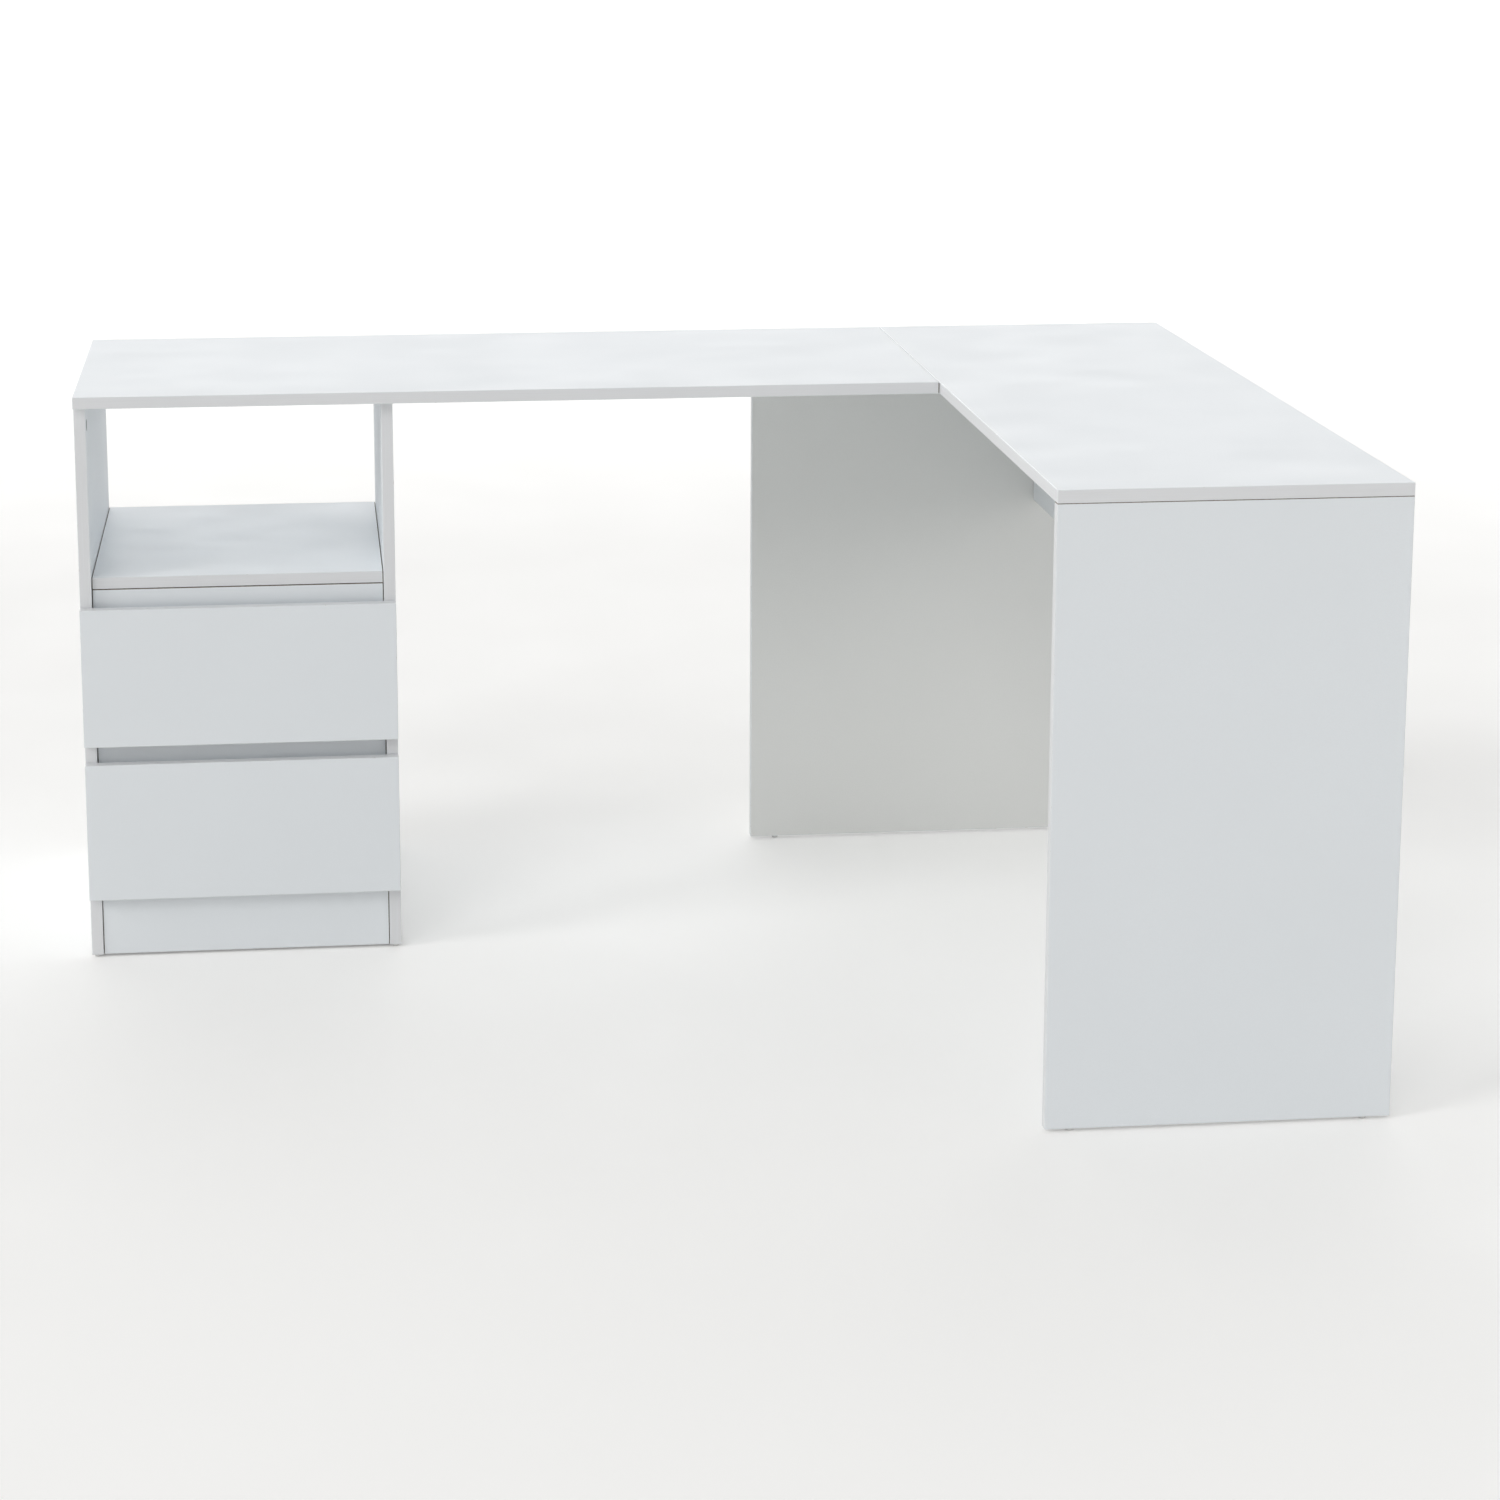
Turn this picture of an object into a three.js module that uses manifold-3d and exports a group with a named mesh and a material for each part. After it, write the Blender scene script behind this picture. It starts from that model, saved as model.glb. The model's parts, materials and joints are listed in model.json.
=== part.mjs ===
// A white corner desk. The main top stands on a pedestal with two drawers under an open niche.
// The return top runs forward from its right end, over an end panel, a stretcher and a corner panel.
// Millimetres: X runs right along the back, -Y is the front, and Z is up from the floor.
import * as THREE from 'three';
import { mergeVertices } from 'three/addons/utils/BufferGeometryUtils.js';
import Module from 'manifold-3d';

const wasm = await Module();
wasm.setup();

// Overall sizes, and the boards that the desk is cut from
const WIDTH = 1500; // along the back
const LENGTH = 1200; // of the return, front to back
const MAIN_DEPTH = 480; // of the main top, front to back
const RETURN_WIDTH = 400;
const PANEL_HEIGHT = 720; // every upright panel
const BOARD = 15; // melamine-faced chipboard
const SEAM = 0.5; // between the two tops

// Glides under the panels
const GLIDE_HEIGHT = 3.5;
const GLIDE_TOP_R = 5;
const GLIDE_BOTTOM_R = 4;
const PEDESTAL_GLIDE_INSET = 8; // glide centre from a side panel's front or back edge
const END_GLIDE_INSET = 30; // from the end panel's edges
const CORNER_GLIDE_INSET = 36; // from the corner panel's edges

// Return
const CORNER_PANEL_WIDTH = 585;
const CORNER_PANEL_INSET = 17.5; // from the back edge of the tops to its rear face
const STRETCHER_HEIGHT = 233;
const STRETCHER_INSET = 165; // from the right edge of the return top to its right face

// Pedestal carcass
const PEDESTAL_WIDTH = 400;
const CARCASS_GAP = 0.5; // each end of a board that fits between the side panels
const RAIL_RECESS = 9; // shelf and rails, behind the side panels' front edges
const PLINTH_RECESS = 2.5;
const PLINTH_HEIGHT = 80;
const BACK_INSET = 9.5; // rear face of the thin back, in from the side panels' back edges

// Drawers
const DRAWER_COUNT = 2;
const FRONT_HEIGHT = 180;
const FINGER_GAP = 23.5; // between one drawer front and the next
const TOP_FINGER_GAP = 22; // between the upper front and the shelf
const FRONT_OVER_PLINTH = 2;
const BUMPER_GAP = 1; // between a closed front and the carcass
const RAIL_COVER = 18.25; // how far a rail reaches behind each drawer front
const RUNNER_OVER_RAIL = 5.5;
const TILT_SPACE = 26.75; // over a drawer side, for lifting the drawer out
const DRAWER_SIDE = 12; // thickness of the box sides and back

// Thin board for the back and the drawer bottoms, held in grooves
const THIN_BOARD = 3;
const GROOVE_WIDTH = 3.5;
const GROOVE_DEPTH = 6;
const GROOVE_END_GAP = 0.5;
const BOTTOM_GROOVE_HEIGHT = 10; // under edge of a drawer side to its groove

// Roller runners. u is measured from the carcass side towards the drawer, v from the runner's lower edge
const SIDE_CLEARANCE = 12.5; // between carcass side and drawer side
const STEEL = 1.25;
const RUNNER_STEP = 50; // runners come in lengths this far apart
const RUNNER_BACK_SPACE = 10; // least space behind a runner
const RUNNER_SETBACK = 1; // carcass member behind the side panel's front edge
const CHANNEL_WIDTH = 11;
const CHANNEL_HEIGHT = 17;
const FLANGE_START = 2; // free edge of the drawer member's upper flange
const ROLLER_PIN_R = 2;
const ROLLER_BORE_R = 2.3;
const ROLLER_WIDTH = 6;
const ROLLER_BEVEL = 0.5;
const FRONT_ROLLER_R = 7;
const REAR_ROLLER_R = 6.75;
const ROLLER_GAP = 0.5; // rear roller to each channel flange
const FLANGE_GAP = 0.25; // front roller to the flange that rides on it
const FRONT_ROLLER_RISE = 1.5; // its top over the channel
const ROLLER_FROM_END = 15;
const ROLLER_WINDOW = 24; // length of channel flange cut away over the front roller

// Cam locks, let into the panels
const CAM_R = 7.5;
const CAM_BORE_R = 7.75;
const CAM_FLOOR = 2.5; // board left behind a cam lock
const CAM_INSET = 26; // centre from the board's joined edge
const PEDESTAL_CAM_INSET = 18; // centre from a side panel's front or back edge
const PANEL_CAM_INSET = 60; // centre from the other panels' ends
const CAM_SLOT = [9, 2, 2.5]; // length, width and depth of each arm of the cross

// Flat joining plates under the seam between the tops
const PLATE = [90, 30, 2];
const PLATE_HOLE_R = 2.5;
const PLATE_HOLE_SPACING = 30;
const PLATE_INSET = 75; // plate centre from the main top's front and from the corner panel

const ROUND = 32; // sides of a round piece

// Places that follow from the sizes
const RIGHT = WIDTH / 2;
const LEFT = -RIGHT;
const BACK = LENGTH / 2;
const FRONT = -BACK;
const MAIN_FRONT = BACK - MAIN_DEPTH;
const RETURN_LEFT = RIGHT - RETURN_WIDTH;
const PANEL_BOTTOM = GLIDE_HEIGHT;
const PANEL_TOP = PANEL_BOTTOM + PANEL_HEIGHT;

const paint = (color, roughness, metalness) => () =>
  new THREE.MeshStandardMaterial({ color, roughness, metalness });
const melamine = paint(0xe8edf0, 0.45, 0);
const shadedMelamine = paint(0xe2e4e2, 0.5, 0);
const drawerBoard = paint(0xe4e6e7, 0.5, 0);
const hardboard = paint(0xdcd8cf, 0.7, 0);
const epoxySteel = paint(0xe6e6e2, 0.4, 0.3);
const bareSteel = paint(0xa9adb0, 0.35, 0.9);
const zinc = paint(0x8b8d8f, 0.45, 0.85);
const nylon = paint(0xf0efe9, 0.5, 0);
const glidePlastic = paint(0xe9e9e6, 0.4, 0);

/** The shape as a manifold solid. */
function solid(shape) {
  const bare = shape.clone();
  bare.deleteAttribute('normal');
  bare.deleteAttribute('uv');
  const merged = mergeVertices(bare);
  return new wasm.Manifold(new wasm.Mesh({
    numProp: 3,
    vertProperties: merged.attributes.position.array,
    triVerts: new Uint32Array(merged.index.array),
  }));
}

/** The manifold solid as a three.js geometry. */
function geometry(manifold) {
  const made = manifold.getMesh();
  const shape = new THREE.BufferGeometry();
  shape.setAttribute('position', new THREE.BufferAttribute(made.vertProperties, 3));
  shape.setIndex(new THREE.BufferAttribute(made.triVerts, 1));
  shape.computeVertexNormals();
  return shape;
}

/** The shape with every cutter taken out of it. */
function cut(shape, cutters) {
  return geometry(cutters.reduce((left, cutter) => left.subtract(solid(cutter)), solid(shape)));
}

/** A box between two opposite corners. */
function box(low, high) {
  const [x, y, z] = high.map((value, i) => value - low[i]);
  return new THREE.BoxGeometry(x, y, z).translate(low[0] + x / 2, low[1] + y / 2, low[2] + z / 2);
}

/** A cylinder whose axis lies along 'x', 'y' or 'z', centred on a point. */
function rod(axis, centre, radius, length, endRadius = radius) {
  const shape = new THREE.CylinderGeometry(radius, endRadius, length, ROUND);
  if (axis === 'x') shape.rotateZ(-Math.PI / 2);
  if (axis === 'z') shape.rotateX(Math.PI / 2);
  return shape.translate(...centre);
}

/** A named mesh whose own origin is at the middle of the shape. */
function piece(name, shape, material) {
  shape.computeBoundingBox();
  const middle = shape.boundingBox.getCenter(new THREE.Vector3());
  const mesh = new THREE.Mesh(shape.translate(-middle.x, -middle.y, -middle.z), material());
  mesh.name = name;
  mesh.position.copy(middle);
  return mesh;
}

/** A board between two opposite corners, with cutters taken out. */
function board(name, low, high, material, cutters = []) {
  const blank = box(low, high);
  return piece(name, cutters.length ? cut(blank, cutters) : blank, material);
}

/** The bore for a cam lock that opens on a face at (x, y, z), towards +1 or -1 along 'x' or 'y'. */
function camBore(axis, outward, [x, y, z]) {
  const depth = BOARD - CAM_FLOOR;
  const middle = -outward * (depth / 2 - CARCASS_GAP);
  const centre = axis === 'x' ? [x + middle, y, z] : [x, y + middle, z];
  return rod(axis, centre, CAM_BORE_R, depth + 2 * CARCASS_GAP);
}

/** A cam lock that fills its bore, with a cross slot in its outer face. */
function camLock(name, axis, outward, [x, y, z]) {
  const depth = BOARD - CAM_FLOOR;
  const middle = (-outward * depth) / 2;
  const [slotLength, slotWidth, slotDepth] = CAM_SLOT;
  const centre = axis === 'x' ? [x + middle, y, z] : [x, y + middle, z];
  const arm = (along, up) => {
    const half = axis === 'x' ? [slotDepth, along / 2, up / 2] : [along / 2, slotDepth, up / 2];
    return box([x - half[0], y - half[1], z - half[2]], [x + half[0], y + half[1], z + half[2]]);
  };
  const arms = [arm(slotLength, slotWidth), arm(slotWidth, slotLength)];
  return piece(name, cut(rod(axis, centre, CAM_R, depth), arms), zinc);
}

/** A tapered glide under a panel. */
function glide(name, x, y) {
  const centre = [x, y, GLIDE_HEIGHT / 2];
  return piece(name, rod('z', centre, GLIDE_TOP_R, GLIDE_HEIGHT, GLIDE_BOTTOM_R), glidePlastic);
}

/** The two tops and the plates that join them from below. */
function tops() {
  const top = PANEL_TOP + BOARD;
  const seam = RETURN_LEFT - SEAM / 2;
  const [length, width, thickness] = PLATE;
  const places = {
    seam_plate_front: MAIN_FRONT + PLATE_INSET,
    seam_plate_rear: BACK - CORNER_PANEL_INSET - BOARD - PLATE_INSET,
  };
  const plates = Object.entries(places).map(([name, y]) => {
    const holes = [-1.25, -0.25, 0.25, 1.25].map((step) =>
      rod('z', [seam + step * PLATE_HOLE_SPACING, y, PANEL_TOP], PLATE_HOLE_R, 3 * thickness));
    const low = [seam - length / 2, y - width / 2, PANEL_TOP - thickness];
    const high = [seam + length / 2, y + width / 2, PANEL_TOP];
    return board(name, low, high, bareSteel, holes);
  });
  return [
    board('main_top', [LEFT, MAIN_FRONT, PANEL_TOP], [RETURN_LEFT - SEAM, BACK, top], melamine),
    board('return_top', [RETURN_LEFT, FRONT, PANEL_TOP], [RIGHT, BACK, top], melamine),
    ...plates,
  ];
}

/** End panel, corner panel and stretcher, with their cam locks and glides. */
function returnFrame() {
  const camHeight = PANEL_TOP - CAM_INSET;
  const endInner = FRONT + BOARD;
  const cornerFace = BACK - CORNER_PANEL_INSET - BOARD;
  const cornerLeft = RIGHT - CORNER_PANEL_WIDTH;
  const stretcherRight = RIGHT - STRETCHER_INSET;
  const stretcherBottom = PANEL_TOP - STRETCHER_HEIGHT;
  const stretcherMiddle = PANEL_TOP - STRETCHER_HEIGHT / 2;
  const endCams = {
    end_panel_cam_left: [RETURN_LEFT + PANEL_CAM_INSET, endInner, camHeight],
    end_panel_cam_right: [RIGHT - PANEL_CAM_INSET, endInner, camHeight],
  };
  const cornerCams = {
    corner_panel_cam_left: [cornerLeft + PANEL_CAM_INSET, cornerFace, camHeight],
    corner_panel_cam_right: [RIGHT - PANEL_CAM_INSET, cornerFace, camHeight],
  };
  const stretcherCams = {
    stretcher_cam_front: [stretcherRight, endInner + CAM_INSET, stretcherMiddle],
    stretcher_cam_rear: [stretcherRight, cornerFace - CAM_INSET, stretcherMiddle],
  };
  const cams = (places, axis, outward) =>
    Object.entries(places).map(([name, place]) => camLock(name, axis, outward, place));
  const bores = (places, axis, outward) =>
    Object.values(places).map((place) => camBore(axis, outward, place));
  const endMiddle = FRONT + BOARD / 2;
  const cornerMiddle = cornerFace + BOARD / 2;
  return [
    board('end_panel', [RETURN_LEFT, FRONT, PANEL_BOTTOM], [RIGHT, endInner, PANEL_TOP],
      melamine, bores(endCams, 'y', 1)),
    board('corner_panel', [cornerLeft, cornerFace, PANEL_BOTTOM],
      [RIGHT, cornerFace + BOARD, PANEL_TOP], shadedMelamine, bores(cornerCams, 'y', -1)),
    board('return_stretcher', [stretcherRight - BOARD, endInner, stretcherBottom],
      [stretcherRight, cornerFace, PANEL_TOP], shadedMelamine, bores(stretcherCams, 'x', 1)),
    ...cams(endCams, 'y', 1),
    ...cams(cornerCams, 'y', -1),
    ...cams(stretcherCams, 'x', 1),
    glide('end_glide_left', RETURN_LEFT + END_GLIDE_INSET, endMiddle),
    glide('end_glide_right', RIGHT - END_GLIDE_INSET, endMiddle),
    glide('corner_glide_left', cornerLeft + CORNER_GLIDE_INSET, cornerMiddle),
    glide('corner_glide_right', RIGHT - CORNER_GLIDE_INSET, cornerMiddle),
  ];
}

// Pedestal places
const SIDE_FRONT = MAIN_FRONT + BOARD + BUMPER_GAP;
const PEDESTAL_RIGHT = LEFT + PEDESTAL_WIDTH;
const INNER_LEFT = LEFT + BOARD;
const INNER_RIGHT = PEDESTAL_RIGHT - BOARD;
const PLINTH_TOP = PANEL_BOTTOM + PLINTH_HEIGHT;
const LOWEST_FRONT = PLINTH_TOP - FRONT_OVER_PLINTH;
const DRAWER_PITCH = FRONT_HEIGHT + FINGER_GAP;
const HIGHEST_FRONT_TOP = LOWEST_FRONT + DRAWER_PITCH * DRAWER_COUNT - FINGER_GAP;
const SHELF_BOTTOM = HIGHEST_FRONT_TOP + TOP_FINGER_GAP;
const GROOVE_Y = BACK - BACK_INSET - GROOVE_WIDTH;
const GROOVE_SLACK = (GROOVE_WIDTH - THIN_BOARD) / 2;

/** A side panel with its cam locks and glides. Both panels' cam locks open to the right. */
function sidePanel(name, left, grooveLow, grooveHigh) {
  const right = left + BOARD;
  const camHeight = PANEL_TOP - CAM_INSET;
  const ends = {
    front: [SIDE_FRONT + PEDESTAL_CAM_INSET, SIDE_FRONT + PEDESTAL_GLIDE_INSET],
    rear: [BACK - PEDESTAL_CAM_INSET, BACK - PEDESTAL_GLIDE_INSET],
  };
  const camPlaces = Object.entries(ends).map(([end, [y]]) => [end, [right, y, camHeight]]);
  const groove = box([grooveLow, GROOVE_Y, PANEL_BOTTOM - CARCASS_GAP],
    [grooveHigh, GROOVE_Y + GROOVE_WIDTH, SHELF_BOTTOM]);
  const cutters = [groove, ...camPlaces.map(([, place]) => camBore('x', 1, place))];
  return [
    board(`pedestal_${name}_side`, [left, SIDE_FRONT, PANEL_BOTTOM], [right, BACK, PANEL_TOP],
      melamine, cutters),
    ...camPlaces.map(([end, place]) => camLock(`pedestal_${name}_cam_${end}`, 'x', 1, place)),
    ...Object.entries(ends).map(([end, [, y]]) =>
      glide(`pedestal_${name}_glide_${end}`, left + BOARD / 2, y)),
  ];
}

/** The pedestal's boards between and including its side panels. */
function carcass() {
  const left = INNER_LEFT + CARCASS_GAP;
  const right = INNER_RIGHT - CARCASS_GAP;
  const railFront = SIDE_FRONT + RAIL_RECESS;
  const plinthFront = SIDE_FRONT + PLINTH_RECESS;
  const rail = (name, bottom, top) =>
    board(name, [left, railFront, bottom], [right, railFront + BOARD, top], melamine);
  const middleRails = Array.from({ length: DRAWER_COUNT - 1 }, (_, i) => {
    const gapBottom = LOWEST_FRONT + DRAWER_PITCH * i + FRONT_HEIGHT;
    const name = i ? `pedestal_middle_rail_${i + 1}` : 'pedestal_middle_rail';
    return rail(name, gapBottom - RAIL_COVER, gapBottom + FINGER_GAP + RAIL_COVER);
  });
  const backReach = GROOVE_DEPTH - GROOVE_END_GAP;
  return [
    ...sidePanel('left', LEFT, INNER_LEFT - GROOVE_DEPTH, INNER_LEFT + GROOVE_DEPTH),
    ...sidePanel('right', INNER_RIGHT, INNER_RIGHT - GROOVE_DEPTH, INNER_RIGHT + GROOVE_DEPTH),
    board('pedestal_shelf', [left, railFront, SHELF_BOTTOM], [right, BACK, SHELF_BOTTOM + BOARD],
      melamine),
    board('pedestal_bottom', [left, plinthFront, PLINTH_TOP],
      [right, GROOVE_Y, PLINTH_TOP + BOARD], melamine),
    board('pedestal_plinth', [left, plinthFront, PANEL_BOTTOM],
      [right, plinthFront + BOARD, PLINTH_TOP], melamine),
    rail('pedestal_upper_rail', HIGHEST_FRONT_TOP - RAIL_COVER, SHELF_BOTTOM - CARCASS_GAP),
    ...middleRails,
    board('pedestal_back', [INNER_LEFT - backReach, GROOVE_Y + GROOVE_SLACK, PLINTH_TOP],
      [INNER_RIGHT + backReach, GROOVE_Y + GROOVE_SLACK + THIN_BOARD, SHELF_BOTTOM - CARCASS_GAP],
      hardboard),
  ];
}

// Runner places
const RUNNER_ROOM = GROOVE_Y - SIDE_FRONT - RUNNER_SETBACK - RUNNER_BACK_SPACE;
const RUNNER_LENGTH = Math.floor(RUNNER_ROOM / RUNNER_STEP) * RUNNER_STEP;
const FRONT_ROLLER_V = CHANNEL_HEIGHT + FRONT_ROLLER_RISE - FRONT_ROLLER_R;
const REAR_ROLLER_V = STEEL + ROLLER_GAP + REAR_ROLLER_R;
const FLANGE_V = FRONT_ROLLER_V + FRONT_ROLLER_R + FLANGE_GAP;
const FRONT_ROLLER_Y = SIDE_FRONT + RUNNER_SETBACK + ROLLER_FROM_END;
const ROLLER_U = 6.25; // middle of both rollers

/** A runner section of (u, v) points, pushed back from yFront. */
function section(points, carcassFace, side, bottom, yFront, length) {
  const outline = new THREE.Shape(points.map(([u, v]) => new THREE.Vector2(side * u, v)));
  return new THREE.ExtrudeGeometry(outline, { depth: length, bevelEnabled: false })
    .rotateX(Math.PI / 2)
    .translate(carcassFace, yFront + length, bottom);
}

/** A nylon roller that turns on a pin along X. */
function roller(name, radius, centre) {
  const half = ROLLER_WIDTH / 2;
  const outline = [
    [ROLLER_BORE_R, -half],
    [radius - ROLLER_BEVEL, -half],
    [radius, ROLLER_BEVEL - half],
    [radius, half - ROLLER_BEVEL],
    [radius - ROLLER_BEVEL, half],
    [ROLLER_BORE_R, half],
    [ROLLER_BORE_R, -half],
  ].map(([r, along]) => new THREE.Vector2(r, along));
  const shape = new THREE.LatheGeometry(outline, ROUND).rotateZ(-Math.PI / 2);
  return piece(name, shape.translate(...centre), nylon);
}

/** The two members and two rollers of one runner. side is +1 on the left of a drawer, -1 on the right. */
function runner(drawerName, hand, side, carcassFace, boxFront, boxBottom) {
  const bottom = boxBottom - STEEL;
  const channelFront = SIDE_FRONT + RUNNER_SETBACK;
  const place = (u) => carcassFace + side * u;
  const channel = [
    [0, 0],
    [CHANNEL_WIDTH, 0],
    [CHANNEL_WIDTH, STEEL],
    [STEEL, STEEL],
    [STEEL, CHANNEL_HEIGHT - STEEL],
    [CHANNEL_WIDTH, CHANNEL_HEIGHT - STEEL],
    [CHANNEL_WIDTH, CHANNEL_HEIGHT],
    [0, CHANNEL_HEIGHT],
  ];
  const face = SIDE_CLEARANCE;
  const flangeTop = FLANGE_V + STEEL;
  const carrier = [
    [FLANGE_START, FLANGE_V],
    [face - STEEL, FLANGE_V],
    [face - STEEL, 0],
    [face + DRAWER_SIDE, 0],
    [face + DRAWER_SIDE, STEEL],
    [face, STEEL],
    [face, flangeTop],
    [FLANGE_START, flangeTop],
  ];
  const frontAxis = [FRONT_ROLLER_Y, bottom + FRONT_ROLLER_V];
  const rearAxis = [boxFront + RUNNER_LENGTH - ROLLER_FROM_END, bottom + REAR_ROLLER_V];
  const pin = (fromU, toU, [y, z]) =>
    rod('x', [place((fromU + toU) / 2), y, z], ROLLER_PIN_R, toU - fromU);
  const overRoller = bottom + CHANNEL_HEIGHT;
  const [windowLow, windowHigh] = [place(STEEL), place(CHANNEL_WIDTH + STEEL)].sort((a, b) => a - b);
  const windowBox = box([windowLow, channelFront - STEEL, overRoller - 2 * STEEL],
    [windowHigh, channelFront + ROLLER_WINDOW, overRoller + STEEL]);
  const channelBar = section(channel, carcassFace, side, bottom, channelFront, RUNNER_LENGTH);
  const carcassMember = solid(cut(channelBar, [windowBox]))
    .add(solid(pin(STEEL / 2, ROLLER_U + ROLLER_WIDTH / 2 + 1, frontAxis)));
  const carrierBar = section(carrier, carcassFace, side, bottom, boxFront, RUNNER_LENGTH);
  const pinStart = ROLLER_U - ROLLER_WIDTH / 2 - 1;
  const drawerMember = solid(carrierBar).add(solid(pin(pinStart, face - STEEL / 2, rearAxis)));
  const name = `${drawerName}_${hand}`;
  return [
    piece(`${name}_carcass_runner`, geometry(carcassMember), epoxySteel),
    piece(`${name}_drawer_runner`, geometry(drawerMember), epoxySteel),
    roller(`${name}_front_roller`, FRONT_ROLLER_R, [place(ROLLER_U), ...frontAxis]),
    roller(`${name}_rear_roller`, REAR_ROLLER_R, [place(ROLLER_U), ...rearAxis]),
  ];
}

/** One drawer: front, box, bottom and its pair of runners. */
function drawer(name, frontBottom) {
  const boxFront = MAIN_FRONT + BOARD;
  const boxBack = boxFront + RUNNER_LENGTH;
  const boxBottom = frontBottom + RAIL_COVER + RUNNER_OVER_RAIL + STEEL;
  const boxTop = frontBottom + FRONT_HEIGHT - RAIL_COVER - TILT_SPACE;
  const left = INNER_LEFT + SIDE_CLEARANCE;
  const right = INNER_RIGHT - SIDE_CLEARANCE;
  const grooveBottom = boxBottom + BOTTOM_GROOVE_HEIGHT;
  const grooveTop = grooveBottom + GROOVE_WIDTH;
  const grooveLeft = left + DRAWER_SIDE - GROOVE_DEPTH;
  const grooveRight = right - DRAWER_SIDE + GROOVE_DEPTH;
  const groove = box([grooveLeft, boxFront - GROOVE_DEPTH, grooveBottom],
    [grooveRight, boxBack + GROOVE_DEPTH, grooveTop]);
  return [
    board(`${name}_front`, [LEFT, MAIN_FRONT, frontBottom],
      [PEDESTAL_RIGHT, boxFront, frontBottom + FRONT_HEIGHT], melamine, [groove]),
    board(`${name}_left_side`, [left, boxFront, boxBottom], [left + DRAWER_SIDE, boxBack, boxTop],
      drawerBoard, [groove]),
    board(`${name}_right_side`, [right - DRAWER_SIDE, boxFront, boxBottom],
      [right, boxBack, boxTop], drawerBoard, [groove]),
    board(`${name}_back`, [left + DRAWER_SIDE, boxBack - DRAWER_SIDE, grooveTop],
      [right - DRAWER_SIDE, boxBack, boxTop], drawerBoard),
    board(`${name}_bottom`,
      [grooveLeft + GROOVE_END_GAP, boxFront - GROOVE_DEPTH + GROOVE_END_GAP,
        grooveBottom + GROOVE_SLACK],
      [grooveRight - GROOVE_END_GAP, boxBack, grooveTop - GROOVE_SLACK], hardboard),
    ...runner(name, 'left', 1, INNER_LEFT, boxFront, boxBottom),
    ...runner(name, 'right', -1, INNER_RIGHT, boxFront, boxBottom),
  ];
}

const DRAWER_NAMES = ['lower_drawer', 'upper_drawer'];
const drawers = DRAWER_NAMES.flatMap((name, i) => drawer(name, LOWEST_FRONT + DRAWER_PITCH * i));

const group = new THREE.Group();
group.name = 'corner_desk';
group.add(...tops(), ...returnFrame(), ...carcass(), ...drawers);

export default group;
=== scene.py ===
# The looks of a white corner desk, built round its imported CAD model.
# Metres, in the model's own frame: +X runs right along the back, -Y is the front, +Z is up.
import json
import math

import bmesh
import bpy
from mathutils import Matrix, Vector


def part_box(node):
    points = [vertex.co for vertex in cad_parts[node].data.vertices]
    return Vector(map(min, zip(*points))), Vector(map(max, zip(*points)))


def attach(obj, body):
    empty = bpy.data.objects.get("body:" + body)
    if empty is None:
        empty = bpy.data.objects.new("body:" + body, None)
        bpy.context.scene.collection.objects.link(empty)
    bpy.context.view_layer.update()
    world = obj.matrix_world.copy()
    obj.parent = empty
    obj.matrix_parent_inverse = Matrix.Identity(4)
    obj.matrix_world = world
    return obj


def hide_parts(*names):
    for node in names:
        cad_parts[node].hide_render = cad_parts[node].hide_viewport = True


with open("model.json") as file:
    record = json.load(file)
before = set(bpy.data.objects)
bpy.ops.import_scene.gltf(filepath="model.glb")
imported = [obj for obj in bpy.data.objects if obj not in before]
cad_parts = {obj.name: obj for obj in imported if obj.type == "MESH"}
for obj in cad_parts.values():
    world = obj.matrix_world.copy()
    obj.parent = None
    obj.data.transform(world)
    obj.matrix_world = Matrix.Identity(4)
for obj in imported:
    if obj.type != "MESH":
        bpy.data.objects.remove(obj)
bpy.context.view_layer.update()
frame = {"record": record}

MM = 0.001
SLOTS = {part["node"]: part["material_slot"] for part in frame["record"]["subparts"]}
BODIES = {node: body for body, nodes in frame["record"]["behaviour"]["bodies"].items() for node in nodes}
DRAWERS = ("lower_drawer", "upper_drawer")

# Boards
ARRIS = 0.8 * MM  # rounding of a board's edges
ARRIS_STEPS = 3
BAND_THICKNESS = 1.0 * MM  # of the edge band, up to the line where it meets the melamine
SEAM_WIDTH = 0.12 * MM  # of that line
SEAM_DEPTH = 0.05 * MM
THIN_ARRIS = 0.25 * MM  # on the hardboard
JOINT_GAP = 0.6 * MM  # the most between two boards that are fastened together
JOINT_OVERLAP = 0.06 * MM  # the most by which two such boards' boxes may overlap
BORE_GAP = 0.25 * MM  # round each cam lock
GROOVE_SLACK = 0.25 * MM  # on each face of a thin board
GROOVE_END_GAP = 0.5 * MM
GROOVE_RUN_OUT = 6 * MM  # how far a groove's cutter runs past the drawer's back

# Cam locks and seam plates
CAM_TURN = 38  # degrees that the cross slots are turned to
PLATE_CORNER = 4 * MM
PLATE_ARRIS = 0.3 * MM
PLATE_HOLES = (-37.5, -7.5, 7.5, 37.5)  # millimetres from the plate's middle

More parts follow.
